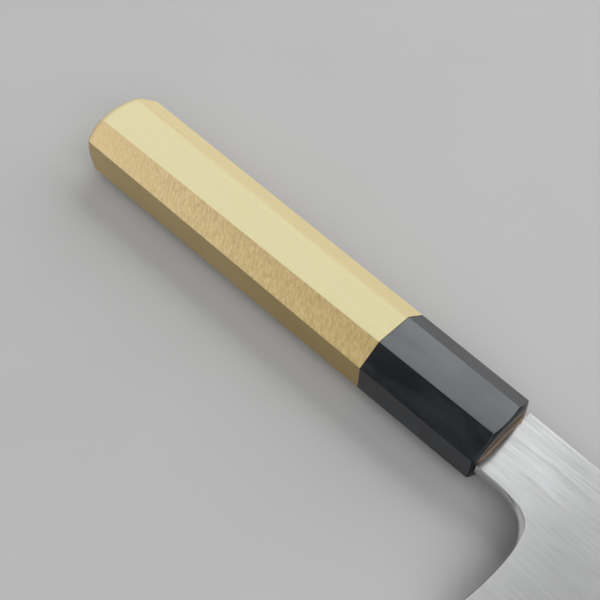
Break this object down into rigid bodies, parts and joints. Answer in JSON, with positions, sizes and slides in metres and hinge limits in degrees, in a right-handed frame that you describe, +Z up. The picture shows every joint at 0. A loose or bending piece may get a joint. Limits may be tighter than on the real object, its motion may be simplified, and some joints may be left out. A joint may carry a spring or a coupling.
{
  "type": "gyuto knife",
  "caption": "Kitchen knife with a thin double-ground blade and rounded choil, a stick tang bedded in an octagonal wooden handle, and a horn ferrule.",
  "frame": {"origin": "middle of the handle's lower flat, which the knife lies on", "axes": "+X from the butt to the tip, +Y to the spine, +Z up through the blade's right face"},
  "size_m": [0.3641, 0.0491, 0.0186],
  "materials": {
    "steel": "satin, hairlines along the blade, polished spine and choil",
    "wood": "bare pale magnolia, fine straight grain",
    "horn": "polished black buffalo horn",
    "glue": "cured glue line",
    "resin": "cured amber adhesive"
  },
  "bodies": {
    "root": {"blade": "steel", "handle_body": "wood", "ferrule": "horn", "ferrule_bond": "glue", "tang_bedding": "resin"}
  },
  "joints": []
}
